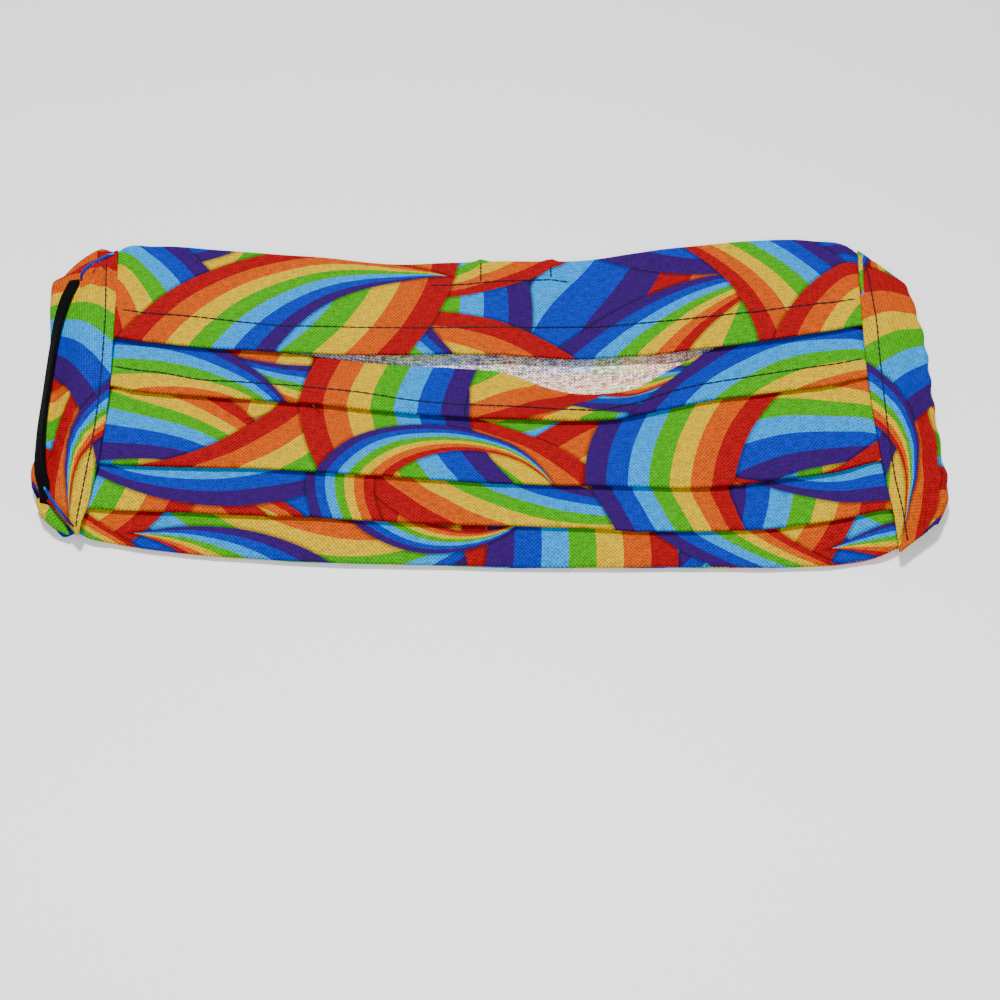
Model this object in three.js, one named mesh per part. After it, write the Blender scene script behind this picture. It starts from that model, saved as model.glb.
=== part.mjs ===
// A pleated cloth face mask, lying flat on its outer side with its lining up. The lining is in two pieces
// that leave a slit between them, the mouth of a filter pocket. A folded strip of cloth binds each short
// end, and a loop of flat elastic runs through each of these casings. Millimetres, +X along the mask, +Y
// towards its top edge, +Z up, with the origin on the floor under the middle.

import * as THREE from "three";

// Overall size
const MASK_LENGTH = 215.5;
const MASK_DEPTH = 92.5;

// Cloth: a wall is two layers, pressed and turned in at the edges
const LINING_WALL = 1.0;
const OUTER_WALL = 1.4;
const CASING_WALL = 1.0;
const CLEARANCE = 0.3;

// Pleats
const FOLD_LAP = 5.0;
const FOLD_ROUND = 0.4;
const OUTER_LAP = 4.0;
const OUTER_STEP = 0.4;
const OUTER_FOLD_SHIFT = 5.0;
const SLIT_SHARE = 0.8;
const VALLEY_SHARE = 0.25;

// The pocket flap comes down from its hem to the low layer, most of the way within its upper half
const FLAP_MIDDLE_SHARE = 0.35;

// Pocket mouth: how far the sagging hem of the lower lining bulges above the folds
const SAG_RISE = 1.0;
const SAG_WALL_SHARE = 1.25;
const HEM_SETTLE = 0.75;
const HEM_REST_SHARE = 0.6;

// Ends of the body, inside the casings, as shares of half the length
const LEFT_RAW_END = -0.89;
const RIGHT_RAW_END = 0.905;
const END_RAMP = 12.0;

// Casings
const TUNNEL_HEIGHT = 2.1;
const LEFT_MOUTH_STEP = 3.0;
const RIGHT_MOUTH_STEP = 6.0;
const FLOOR_LEAF_RAMP = 0.1;
const UPPER_LEAF_SAG = 0.6;
const MOUTH_REACH = 0.2;
const GATHERS = 9;
const GATHER_DEPTH = 0.5;

// Ear loops of flat elastic
const ELASTIC_WIDTH = 4.0;
const ELASTIC_THICKNESS = 1.0;
const ELASTIC_CORNER = 0.3;
const LEFT_TUNNEL_RUN = -0.931;
const RIGHT_TUNNEL_RUN = 0.931;
const RIGHT_FLOOR_RUN = 0.938;
const RIGHT_LEAF_SETBACK = 0.45;
const LEFT_RUN_DROP = 0.25;

const HALF_LENGTH = MASK_LENGTH / 2;
const HALF_DEPTH = MASK_DEPTH / 2;

// Gives each number in a table's rows the name of its column
const named = (columns, row) => Object.fromEntries(columns.map((name, i) => [name, row[i]]));
const table = (columns, rows) => rows.map((row) => named(columns, row));

// Edges and folds across the mask, a row for each section: where it is, as a share of half the length,
// then the top edge, the hem of the pocket flap, the lip and the stitch line of the lower lining's hem,
// its three folds and the bottom edge, as shares of half the depth. The last column is how far the hem
// sags, from 0 to 1.
const BODY_COLUMNS = ["at", "top", "hem", "lip", "stitch", "foldA", "foldB", "foldC", "bottom", "sag"];
const BODY_ROWS = table(BODY_COLUMNS, [
  [-0.89, 0.88, 0.32, 0.39, 0.16, 0.03, -0.44, -0.7, -0.8, 0],
  [-0.84, 0.94, 0.32, 0.38, 0.16, 0.03, -0.44, -0.7, -0.84, 0],
  [-0.78, 0.96, 0.31, 0.37, 0.14, 0.01, -0.44, -0.7, -0.87, 0],
  [-0.64, 0.94, 0.27, 0.33, 0.09, -0.02, -0.45, -0.71, -0.92, 0],
  [-0.5, 0.91, 0.25, 0.29, 0.07, -0.05, -0.46, -0.73, -0.95, 0],
  [-0.36, 0.88, 0.23, 0.24, 0.03, -0.08, -0.48, -0.74, -0.97, 0],
  [-0.22, 0.84, 0.22, 0.17, -0.01, -0.12, -0.5, -0.76, -0.98, 0.05],
  [-0.08, 0.85, 0.23, 0.15, -0.06, -0.15, -0.53, -0.78, -0.99, 0.15],
  [0.06, 0.86, 0.23, 0.11, -0.09, -0.165, -0.55, -0.79, -1, 0.45],
  [0.13, 0.86, 0.22, 0.04, -0.12, -0.17, -0.555, -0.795, -1, 0.85],
  [0.2, 0.86, 0.21, -0.005, -0.135, -0.175, -0.56, -0.8, -1, 1],
  [0.27, 0.88, 0.22, -0.005, -0.13, -0.17, -0.565, -0.81, -1, 1],
  [0.34, 0.91, 0.23, 0.04, -0.09, -0.14, -0.57, -0.82, -1, 0.8],
  [0.41, 0.94, 0.24, 0.16, 0, -0.1, -0.575, -0.82, -1, 0.35],
  [0.48, 0.96, 0.26, 0.25, 0.06, -0.06, -0.57, -0.82, -1, 0.05],
  [0.62, 1, 0.31, 0.36, 0.12, -0.01, -0.53, -0.8, -1, 0],
  [0.76, 1, 0.37, 0.42, 0.18, 0.04, -0.48, -0.75, -0.98, 0],
  [0.85, 0.94, 0.4, 0.45, 0.21, 0.08, -0.43, -0.71, -0.93, 0],
  [0.905, 0.87, 0.4, 0.45, 0.21, 0.08, -0.43, -0.71, -0.89, 0],
]);

// Casings, a row for each section from the lower mouth to the upper one: how far along, then the inner
// edge and the outer fold, each as shares of half the length and half the depth.
const LEFT_CASING_ROWS = [
  { along: 0, innerX: -0.852, innerY: -0.86, outerX: -0.97, outerY: -0.56 },
  { along: 0.12, innerX: -0.84, innerY: -0.74, outerX: -0.979, outerY: -0.46 },
  { along: 0.3, innerX: -0.83, innerY: -0.52, outerX: -0.972, outerY: -0.32 },
  { along: 0.5, innerX: -0.825, innerY: -0.14, outerX: -0.979, outerY: -0.03 },
  { along: 0.75, innerX: -0.836, innerY: 0.36, outerX: -0.987, outerY: 0.34 },
  { along: 0.9, innerX: -0.847, innerY: 0.68, outerX: -0.998, outerY: 0.56 },
  { along: 1, innerX: -0.856, innerY: 0.9, outerX: -1, outerY: 0.7 },
];
const RIGHT_CASING_ROWS = [
  { along: 0, innerX: 0.872, innerY: -0.95, outerX: 0.98, outerY: -0.7 },
  { along: 0.12, innerX: 0.867, innerY: -0.78, outerX: 0.99, outerY: -0.56 },
  { along: 0.3, innerX: 0.858, innerY: -0.5, outerX: 0.992, outerY: -0.37 },
  { along: 0.5, innerX: 0.851, innerY: -0.1, outerX: 0.993, outerY: -0.04 },
  { along: 0.7, innerX: 0.853, innerY: 0.3, outerX: 0.995, outerY: 0.29 },
  { along: 0.88, innerX: 0.862, innerY: 0.67, outerX: 0.985, outerY: 0.52 },
  { along: 1, innerX: 0.869, innerY: 0.9, outerX: 0.972, outerY: 0.66 },
];

// The left loop's run along the top of its casing, as shares of half the depth and half the length
const LEFT_RUN_ROWS = [
  { at: -0.6, x: -0.94 },
  { at: -0.42, x: -0.953 },
  { at: -0.15, x: -0.961 },
  { at: 0.3, x: -0.966 },
  { at: 0.55, x: -0.961 },
  { at: 0.72, x: -0.952 },
];

// How finely the cloth and the elastic are cut into facets
const BODY_SECTION_SPACING = 6.4;
const CASING_SECTION_SPACING = 3.4;
const ELASTIC_STEPS = 12;
const ELASTIC_TURN_STEPS = 6;
const FOLD_TURN_STEPS = 4;

const mix = (from, to, share) => from + (to - from) * share;
const smooth = (share) => {
  const held = Math.min(Math.max(share, 0), 1);
  return held * held * (3 - 2 * held);
};

// A smooth curve through one column of a table, read at a place in its key column
function through(rows, key, column, place) {
  let i = 0;
  while (i < rows.length - 2 && place > rows[i + 1][key]) {
    i += 1;
  }
  const slope = (a, b) => (rows[b][column] - rows[a][column]) / (rows[b][key] - rows[a][key]);
  const first = Math.max(i - 1, 0);
  const last = Math.min(i + 2, rows.length - 1);
  const span = rows[i + 1][key] - rows[i][key];
  const share = Math.min(Math.max((place - rows[i][key]) / span, 0), 1);
  const rise = rows[i + 1][column] - rows[i][column];
  const startSlope = slope(first, i + 1) * span;
  const endSlope = slope(i, last) * span;
  const bend = share * (1 - share);
  return rows[i][column] + rise * smooth(share) + bend * ((1 - share) * startSlope - share * endSlope);
}

// One closed body from sections with equal numbers of points. Each section has its points in space and
// the same points on its own plane, which the end caps are cut from. A ring of sections closes on itself
// and has no caps.
function loft(sections, isRing = false) {
  const count = sections[0].points.length;
  const positions = sections.flatMap((section) => section.points.flatMap((p) => [p.x, p.y, p.z]));
  const triangles = [];
  const spans = isRing ? sections.length : sections.length - 1;
  for (let i = 0; i < spans; i += 1) {
    const here = i * count;
    const next = ((i + 1) % sections.length) * count;
    for (let j = 0; j < count; j += 1) {
      const k = (j + 1) % count;
      triangles.push(here + j, next + j, here + k, here + k, next + j, next + k);
    }
  }
  if (!isRing) {
    const lastStart = (sections.length - 1) * count;
    for (const [a, b, c] of capTriangles(sections[0].plane)) {
      triangles.push(a, b, c);
    }
    for (const [a, b, c] of capTriangles(sections.at(-1).plane)) {
      triangles.push(lastStart + b, lastStart + a, lastStart + c);
    }
  }
  const geometry = new THREE.BufferGeometry();
  geometry.setAttribute("position", new THREE.Float32BufferAttribute(positions, 3));
  geometry.setIndex(isInsideOut(positions, triangles) ? triangles.reverse() : triangles);
  geometry.computeVertexNormals();
  return geometry;
}

// Cuts a flat outline into triangles that keep its turning sense
function capTriangles(outline) {
  const cut = THREE.ShapeUtils.triangulateShape([...outline], []);
  const area = (a, b, c) => (b.x - a.x) * (c.y - a.y) - (b.y - a.y) * (c.x - a.x);
  const turnsLeft = THREE.ShapeUtils.area(outline) > 0;
  return cut.map(([a, b, c]) => {
    const isLeft = area(outline[a], outline[b], outline[c]) > 0;
    return isLeft === turnsLeft ? [a, b, c] : [a, c, b];
  });
}

function isInsideOut(positions, triangles) {
  const corner = (i) => new THREE.Vector3().fromArray(positions, i * 3);
  let volume = 0;
  for (let i = 0; i < triangles.length; i += 3) {
    const across = corner(triangles[i + 1]).cross(corner(triangles[i + 2]));
    volume += corner(triangles[i]).dot(across);
  }
  return volume < 0;
}

// The outline of a strip of cloth that follows a path, half its wall to each side, with mitred corners
function thicken(path, wall) {
  const headings = path.slice(1).map((point, i) => point.clone().sub(path[i]).normalize());
  const offset = (side) => path.map((point, i) => {
    const into = headings[Math.max(i - 1, 0)];
    const out = headings[Math.min(i, headings.length - 1)];
    const along = into.clone().add(out).normalize();
    const reach = side / along.dot(out);
    return new THREE.Vector2(point.x - along.y * reach, point.y + along.x * reach);
  });
  return [...offset(wall / 2), ...offset(-wall / 2).reverse()];
}

// Where a cross-section lies: the edges, folds and heights of every layer at one place along the mask
function bodySection(place) {
  const across = (column) => through(BODY_ROWS, "at", column, place) * HALF_DEPTH;
  const x = place * HALF_LENGTH;
  const toEnd = Math.min(x - LEFT_RAW_END * HALF_LENGTH, RIGHT_RAW_END * HALF_LENGTH - x);
  const lifted = 1 - smooth((toEnd - END_RAMP / 2) / (END_RAMP / 2));
  const floorSide = lifted * (CASING_WALL + CLEARANCE);
  const outerWall = mix(OUTER_WALL, OUTER_WALL - OUTER_STEP, lifted);
  const lowBottom = floorSide + outerWall + CLEARANCE;
  const lowTop = lowBottom + LINING_WALL;
  const highBottom = lowTop + CLEARANCE;
  return {
    x,
    lifted,
    floorSide,
    outerTop: floorSide + outerWall,
    lowBottom,
    lowTop,
    highBottom,
    highTop: highBottom + LINING_WALL,
    top: across("top"),
    hem: across("hem"),
    lip: across("lip"),
    stitch: across("stitch"),
    folds: ["foldA", "foldB", "foldC"].map(across),
    bottom: across("bottom"),
    sag: through(BODY_ROWS, "at", "sag", place),
  };
}

// Lofts a body piece along the mask from an outline of [y, z] points that each section gives
function bodyLoft(outline) {
  const count = Math.round(((RIGHT_RAW_END - LEFT_RAW_END) * HALF_LENGTH) / BODY_SECTION_SPACING);
  const sections = [];
  for (let i = 0; i <= count; i += 1) {
    const place = mix(LEFT_RAW_END, RIGHT_RAW_END, i / count);
    const section = bodySection(place);
    const plane = outline(section).map(([y, z]) => new THREE.Vector2(y, z));
    sections.push({ plane, points: plane.map((p) => new THREE.Vector3(section.x, p.x, p.y)) });
  }
  return loft(sections);
}

// The outer panel lies on the floor. Each strip starts a step above the floor, lapped over the fold edge
// of the strip below, and settles onto the floor within the lap.
function outerPanel() {
  return bodyLoft((s) => {
    const step = OUTER_STEP * (1 - s.lifted);
    const underside = s.folds.toReversed().flatMap((fold) => [
      [fold + OUTER_FOLD_SHIFT - CLEARANCE, s.floorSide],
      [fold + OUTER_FOLD_SHIFT, s.floorSide + step],
      [fold + OUTER_FOLD_SHIFT + OUTER_LAP, s.floorSide],
    ]);
    return [
      [s.bottom, s.floorSide + FOLD_ROUND],
      [s.bottom + FOLD_ROUND, s.floorSide],
      ...underside,
      [s.top - FOLD_ROUND, s.floorSide],
      [s.top, s.floorSide + FOLD_ROUND],
      [s.top, s.outerTop - FOLD_ROUND],
      [s.top - FOLD_ROUND, s.outerTop],
      [mix(s.top, s.bottom, 0.5), s.outerTop],
      [s.bottom + FOLD_ROUND, s.outerTop],
      [s.bottom, s.outerTop - FOLD_ROUND],
    ];
  });
}

// The pocket flap is the upper part of the lining: low at the top edge, where it is seamed to the outer
// panel, and one layer higher at its hem, which lies over the lower lining.
function pocketFlap() {
  return bodyLoft((s) => {
    const round = FOLD_ROUND;
    const middle = mix(s.hem, s.top, 0.5);
    const middleTop = mix(s.highTop, s.lowTop, FLAP_MIDDLE_SHARE);
    return [
      [s.hem, s.highBottom + round],
      [s.hem + round, s.highBottom],
      [middle, middleTop - LINING_WALL],
      [s.top - round, s.lowBottom],
      [s.top, s.lowBottom + round],
      [s.top, s.lowTop - round],
      [s.top - round, s.lowTop],
      [middle, middleTop],
      [s.hem + round, s.highTop],
      [s.hem, s.highTop - round],
    ];
  });
}

// The lower lining: a hemmed upper edge that sags open in the middle, then three pleats. Each pleat's
// fold edge lies over the start of the next strip, with a thin gap between them.
function lowerLining() {
  return bodyLoft((s) => {
    const crest = mix(mix(s.lowTop, s.highTop, HEM_REST_SHARE), s.highTop + SAG_RISE, s.sag);
    const hemShares = [1, HEM_SETTLE, HEM_SETTLE / 2, 0];
    const hemTop = hemShares.map((share) => [
      mix(s.stitch, s.lip, share),
      mix(crest, s.lowTop, smooth(share / HEM_SETTLE)),
    ]);
    const crestUnder = Math.max(crest - LINING_WALL * SAG_WALL_SHARE, s.lowBottom);
    const hemUnder = hemShares.toReversed().map((share) => [
      mix(s.stitch, s.lip, share),
      mix(crestUnder, s.lowBottom, smooth(share / HEM_SETTLE)),
    ]);
    const pleats = s.folds.flatMap((fold, i) => {
      const nextEdge = s.folds[i + 1] ?? s.bottom;
      const slitEnd = Math.min(fold + FOLD_LAP, mix(fold, i > 0 ? s.folds[i - 1] : s.lip, SLIT_SHARE));
      const rampStart = mix(fold, nextEdge, VALLEY_SHARE);
      return [
        [fold + FOLD_ROUND, s.highTop],
        [fold, s.highTop - FOLD_ROUND],
        [fold, s.highBottom + FOLD_ROUND / 2],
        [fold + FOLD_ROUND, s.highBottom],
        [slitEnd, s.highBottom],
        [slitEnd, s.lowTop],
        [rampStart, s.lowTop],
      ];
    });
    return [
      ...hemTop,
      ...pleats,
      [s.bottom + FOLD_ROUND, s.lowTop],
      [s.bottom, s.lowTop - FOLD_ROUND],
      [s.bottom, s.lowBottom + FOLD_ROUND],
      [s.bottom + FOLD_ROUND, s.lowBottom],
      [s.folds[1], s.lowBottom],
      [s.folds[0], s.lowBottom],
      ...hemUnder,
    ];
  });
}

// The height of the body's top layer inside a casing, which the casing's upper leaf lies over
function bodyTopAtEnd(place, y) {
  const s = bodySection(place);
  const foldC = s.folds[2];
  if (y > s.hem) {
    return mix(s.highTop, s.lowTop, (y - s.hem) / (s.top - s.hem));
  }
  if (y < foldC) {
    return mix(s.highTop, s.lowTop, Math.min((foldC - y) / (foldC - s.bottom), 1));
  }
  return s.highTop;
}

// A casing: a strip of cloth folded lengthwise round the raw end of the body. Its two leaves take the
// body between them at the inner edge, and the fold beyond the raw end is the tunnel of the ear loop. The
// floor leaf rises in its outer part by floorRise, and reaches past the upper leaf by mouthStep at both
// mouths.
function casing(rows, rawEnd, floorRise, mouthStep, gatherDepth) {
  const side = Math.sign(rawEnd);
  const half = CASING_WALL / 2;
  const count = Math.round(MASK_DEPTH / CASING_SECTION_SPACING);
  const sections = [];
  for (let i = 0; i <= count; i += 1) {
    const along = i / count;
    const inner = new THREE.Vector2(
      through(rows, "along", "innerX", along) * HALF_LENGTH,
      through(rows, "along", "innerY", along) * HALF_DEPTH,
    );
    const outer = new THREE.Vector2(
      through(rows, "along", "outerX", along) * HALF_LENGTH,
      through(rows, "along", "outerY", along) * HALF_DEPTH,
    );
    const wave = Math.cos(along * GATHERS * 2 * Math.PI) * gatherDepth;
    outer.x += side * (wave - gatherDepth) / 2;
    const width = Math.abs(outer.x - inner.x);
    const over = Math.abs(rawEnd * HALF_LENGTH - inner.x) + CLEARANCE;
    const overY = mix(inner.y, outer.y, over / width);
    const bodyTop = Math.max(bodyTopAtEnd(inner.x / HALF_LENGTH, inner.y), bodyTopAtEnd(rawEnd, overY));
    const edgeHeight = bodyTop + CLEARANCE + half;
    const foldLow = floorRise + half;
    const foldHigh = foldLow + TUNNEL_HEIGHT + CASING_WALL + wave / 2;
    const radius = (foldHigh - foldLow) / 2;
    const foldCentre = new THREE.Vector2(width - half - radius, foldLow + radius);
    const path = [
      new THREE.Vector2(0, edgeHeight),
      new THREE.Vector2(over, edgeHeight),
      new THREE.Vector2(mix(over, foldCentre.x, 0.5), mix(edgeHeight, foldHigh, UPPER_LEAF_SAG)),
    ];
    for (let turn = 0; turn <= FOLD_TURN_STEPS; turn += 1) {
      const angle = Math.PI / 2 - (Math.PI * turn) / FOLD_TURN_STEPS;
      path.push(new THREE.Vector2(Math.cos(angle), Math.sin(angle)).multiplyScalar(radius).add(foldCentre));
    }
    path.push(new THREE.Vector2(mix(over, foldCentre.x, FLOOR_LEAF_RAMP), foldLow));
    path.push(new THREE.Vector2(over, half));
    path.push(new THREE.Vector2(0, half));
    const plane = thicken(path, CASING_WALL);
    const nearMouth = smooth(1 - Math.min(along, 1 - along) / MOUTH_REACH) * Math.sign(along - 0.5);
    sections.push({
      plane,
      points: plane.map((p) => {
        const share = p.x / width;
        const low = Math.min(Math.max(1 - p.y / foldHigh, 0), 1);
        return new THREE.Vector3(
          inner.x + side * p.x,
          mix(inner.y, outer.y, share) + mouthStep * nearMouth * low * smooth(share * 2),
          p.y,
        );
      }),
    });
  }
  return loft(sections);
}

// A closed loop of flat elastic: one run outside the casing and one through its tunnel, joined by a turn
// round the cloth at each mouth. Both runs are given as places along Y.
function earLoop(outsideX, tunnelX, outsideHeight, tunnelHeight, lowEnd, highEnd) {
  const path = [];
  const radius = (outsideHeight - tunnelHeight) / 2;
  const middle = (outsideHeight + tunnelHeight) / 2;
  for (let i = 0; i <= ELASTIC_STEPS; i += 1) {
    const y = mix(lowEnd, highEnd, i / ELASTIC_STEPS);
    path.push(new THREE.Vector3(outsideX(y), y, outsideHeight));
  }
  const turn = (y, way, fromX, toX, from, to) => {
    for (let i = 1; i < ELASTIC_TURN_STEPS; i += 1) {
      const share = i / ELASTIC_TURN_STEPS;
      const angle = mix(from, to, share);
      const reach = Math.abs(radius) * Math.cos(angle) * way;
      const x = mix(fromX, toX, smooth(share));
      path.push(new THREE.Vector3(x, y + reach, middle + radius * Math.sin(angle)));
    }
  };
  turn(highEnd, 1, outsideX(highEnd), tunnelX, Math.PI / 2, -Math.PI / 2);
  for (let i = 0; i <= ELASTIC_STEPS; i += 1) {
    path.push(new THREE.Vector3(tunnelX, mix(highEnd, lowEnd, i / ELASTIC_STEPS), tunnelHeight));
  }
  turn(lowEnd, -1, tunnelX, outsideX(lowEnd), -Math.PI / 2, Math.PI / 2);
  const halfWidth = ELASTIC_WIDTH / 2;
  const halfThickness = ELASTIC_THICKNESS / 2;
  const cut = ELASTIC_CORNER;
  const outline = [
    [halfWidth, cut - halfThickness],
    [halfWidth, halfThickness - cut],
    [halfWidth - cut, halfThickness],
    [cut - halfWidth, halfThickness],
    [-halfWidth, halfThickness - cut],
    [-halfWidth, cut - halfThickness],
    [cut - halfWidth, -halfThickness],
    [halfWidth - cut, -halfThickness],
  ];
  const sections = path.map((point, i) => {
    const before = path[(i + path.length - 1) % path.length];
    const after = path[(i + 1) % path.length];
    const forward = after.clone().sub(before).normalize();
    const sideways = new THREE.Vector3(1, 0, 0).addScaledVector(forward, -forward.x).normalize();
    const up = sideways.clone().cross(forward);
    return {
      points: outline.map(([across, high]) => point.clone()
        .addScaledVector(sideways, across)
        .addScaledVector(up, high)),
    };
  });
  return loft(sections, true);
}

// Where the edge of a casing's mouth crosses the side of a loop that is nearer the body
function mouthAt(row, loopX) {
  const nearX = loopX / HALF_LENGTH - (Math.sign(loopX) * ELASTIC_WIDTH) / 2 / HALF_LENGTH;
  return mix(row.innerY, row.outerY, (nearX - row.innerX) / (row.outerX - row.innerX)) * HALF_DEPTH;
}

function leftEarLoop() {
  const foldTop = CASING_WALL + TUNNEL_HEIGHT + CASING_WALL;
  const outsideHeight = foldTop + 2 * CLEARANCE + ELASTIC_THICKNESS - LEFT_RUN_DROP;
  const tunnelHeight = CASING_WALL + CLEARANCE + ELASTIC_THICKNESS / 2;
  const outsideX = (y) => through(LEFT_RUN_ROWS, "at", "x", y / HALF_DEPTH) * HALF_LENGTH;
  const tunnelX = LEFT_TUNNEL_RUN * HALF_LENGTH;
  const lowEnd = mouthAt(LEFT_CASING_ROWS[0], tunnelX) - CLEARANCE;
  const highEnd = mouthAt(LEFT_CASING_ROWS.at(-1), tunnelX) + CLEARANCE;
  return earLoop(outsideX, tunnelX, outsideHeight, tunnelHeight, lowEnd, highEnd);
}

function rightEarLoop() {
  const outsideHeight = ELASTIC_THICKNESS / 2;
  const tunnelHeight = RIGHT_FLOOR_RISE + CASING_WALL + CLEARANCE + ELASTIC_THICKNESS / 2;
  const tunnelX = RIGHT_TUNNEL_RUN * HALF_LENGTH;
  const outsideX = () => RIGHT_FLOOR_RUN * HALF_LENGTH;
  const setBack = RIGHT_MOUTH_STEP * RIGHT_LEAF_SETBACK;
  const lowEnd = mouthAt(RIGHT_CASING_ROWS[0], tunnelX) + setBack;
  const highEnd = mouthAt(RIGHT_CASING_ROWS.at(-1), tunnelX) - setBack;
  return earLoop(outsideX, tunnelX, outsideHeight, tunnelHeight, lowEnd, highEnd);
}

// The right casing's tunnel lies on its loop, which passes under it
const RIGHT_FLOOR_RISE = ELASTIC_THICKNESS + CLEARANCE;

const CLOTH_FINISH = { roughness: 0.9, metalness: 0 };
const ELASTIC_FINISH = { color: 0x141418, roughness: 0.8, metalness: 0 };
const mask = new THREE.Group();

function addPiece(name, geometry, finish) {
  const mesh = new THREE.Mesh(geometry, new THREE.MeshStandardMaterial(finish));
  mesh.name = name;
  mask.add(mesh);
}

addPiece("outer_panel", outerPanel(), { ...CLOTH_FINISH, color: 0x58b5e4 });
addPiece("pocket_flap", pocketFlap(), { ...CLOTH_FINISH, color: 0xc8161a });
addPiece("lower_lining", lowerLining(), { ...CLOTH_FINISH, color: 0xe4c42a });
addPiece(
  "left_casing",
  casing(LEFT_CASING_ROWS, LEFT_RAW_END, 0, LEFT_MOUTH_STEP, 0),
  { ...CLOTH_FINISH, color: 0x69af34 },
);
addPiece(
  "right_casing",
  casing(RIGHT_CASING_ROWS, RIGHT_RAW_END, RIGHT_FLOOR_RISE, -RIGHT_MOUTH_STEP, GATHER_DEPTH),
  { ...CLOTH_FINISH, color: 0x255fc8 },
);
addPiece("left_ear_loop", leftEarLoop(), ELASTIC_FINISH);
addPiece("right_ear_loop", rightEarLoop(), ELASTIC_FINISH);

// The origin is on the floor under the middle of the whole mask
const middle = new THREE.Box3().setFromObject(mask).getCenter(new THREE.Vector3());
mask.position.set(-middle.x, -middle.y, 0);

export default mask;
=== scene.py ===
# %% [markdown]
# A pleated cloth face mask, lying flat with its lining up.
# The frame below is the solid model of the mask. It keeps the size and the place of every piece, and this
# lesson dresses each of its seven pieces in thin cloth, elastic and thread. Places are worked out in
# millimetres, and MM turns them to the scene's metres.

# %% Load the frame
import functools
import math

import bmesh
import bpy
import numpy as np
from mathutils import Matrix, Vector
from mathutils.bvhtree import BVHTree


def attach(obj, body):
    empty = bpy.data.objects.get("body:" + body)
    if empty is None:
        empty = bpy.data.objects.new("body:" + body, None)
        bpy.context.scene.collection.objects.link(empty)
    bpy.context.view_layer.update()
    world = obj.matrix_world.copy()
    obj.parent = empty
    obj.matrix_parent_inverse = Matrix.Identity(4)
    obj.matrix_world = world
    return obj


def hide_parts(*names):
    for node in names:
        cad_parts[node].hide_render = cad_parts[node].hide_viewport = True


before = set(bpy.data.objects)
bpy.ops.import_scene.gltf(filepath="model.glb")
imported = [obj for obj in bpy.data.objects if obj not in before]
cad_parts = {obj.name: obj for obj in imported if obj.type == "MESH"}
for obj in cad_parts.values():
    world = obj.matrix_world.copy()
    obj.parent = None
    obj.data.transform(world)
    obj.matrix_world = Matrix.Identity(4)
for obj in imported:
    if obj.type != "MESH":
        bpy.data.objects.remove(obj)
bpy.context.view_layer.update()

MM = 0.001
HALF_LENGTH = 107.75
HALF_DEPTH = 46.25

# %% [markdown]
# The camera stands in front of the mask and looks down at sixty degrees, as a person who leans over it does.
# Its place and its lens were worked out beforehand, so that the mask has the perspective of the real one.

# %% Camera
CAMERA_PLACE = (3.8, -219.2, 330.8)
CAMERA_DOWN = 60.0
CAMERA_LENS = 59.28

camera_data = bpy.data.cameras.new("camera")
camera_data.lens = CAMERA_LENS
camera_data.sensor_width = 36.0
camera = bpy.data.objects.new("camera", camera_data)
camera.location = Vector(CAMERA_PLACE) * MM
camera.rotation_euler = (math.radians(90.0 - CAMERA_DOWN), 0.0, 0.0)
bpy.context.scene.collection.objects.link(camera)
bpy.context.scene.camera = camera
print("the camera is", round(camera.location.length, 3), "m from the middle of the mask")

# %% [markdown]
# A studio for cloth: a large soft light from the front, a smaller one from behind and above, and a pale
# world. The one behind is steep, so that each fold throws only a thin dark line on the strip below it.

# %% Floor and lights
FLOOR_SIZE, FLOOR_DROP = 3.0, 0.0002
WORLD_COLOUR, WORLD_STRENGTH = (0.93, 0.95, 1.0, 1.0), 0.35

bpy.ops.object.select_all(action="DESELECT")
bpy.ops.mesh.primitive_plane_add(size=FLOOR_SIZE, location=(0.0, 0.0, -FLOOR_DROP))
floor = bpy.context.object
floor.name = "floor"


def area_light(name, place, aim, size, power):
    data = bpy.data.lights.new(name, "AREA")
    data.shape = "DISK"
    data.size = size
    data.energy = power
    lamp = bpy.data.objects.new(name, data)
    lamp.location = place
    lamp.rotation_euler = (Vector(aim) - Vector(place)).to_track_quat("-Z", "Y").to_euler()
    bpy.context.scene.collection.objects.link(lamp)
    print(name, "is", size, "m wide, at", place)


area_light("front_light", place=(0.06, -0.50, 0.66), aim=(0, -0.10, 0), size=0.5, power=5.0)
area_light("back_light", place=(-0.08, 0.34, 0.86), aim=(0, 0, 0), size=0.16, power=13.5)
world = bpy.data.worlds.new("studio")
world.use_nodes = True
world.node_tree.nodes["Background"].inputs["Color"].default_value = WORLD_COLOUR
world.node_tree.nodes["Background"].inputs["Strength"].default_value = WORLD_STRENGTH
bpy.context.scene.world = world

# %% [markdown]
# One function adds a shader node with its settings and links. Colours are written as sRGB hex and turned to
# linear by another. Every cloth piece has a UV map that holds its place on the flat cut of cloth, so the
# print and the weave follow each fold as they do on real cloth.

# %% Shader helpers
UV_SPAN = 400.0


def colour(code):
    parts = [int(code[i:i + 2], 16) / 255.0 for i in (0, 2, 4)]
    return tuple(p / 12.92 if p <= 0.04045 else ((p + 0.055) / 1.055) ** 2.4 for p in parts) + (1.0,)


def add(tree, kind, inputs=None, **settings):
    node = tree.nodes.new("ShaderNode" + kind)
    for name, value in settings.items():
        setattr(node, name, value)
    for name, value in (inputs or {}).items():
        if isinstance(value, bpy.types.NodeSocket):
            tree.links.new(value, node.inputs[name])
        else:
            node.inputs[name].default_value = value
    return node


def new_material(name):
    material = bpy.data.materials.new(name)
    material.use_nodes = True
    return material, material.node_tree


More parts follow.
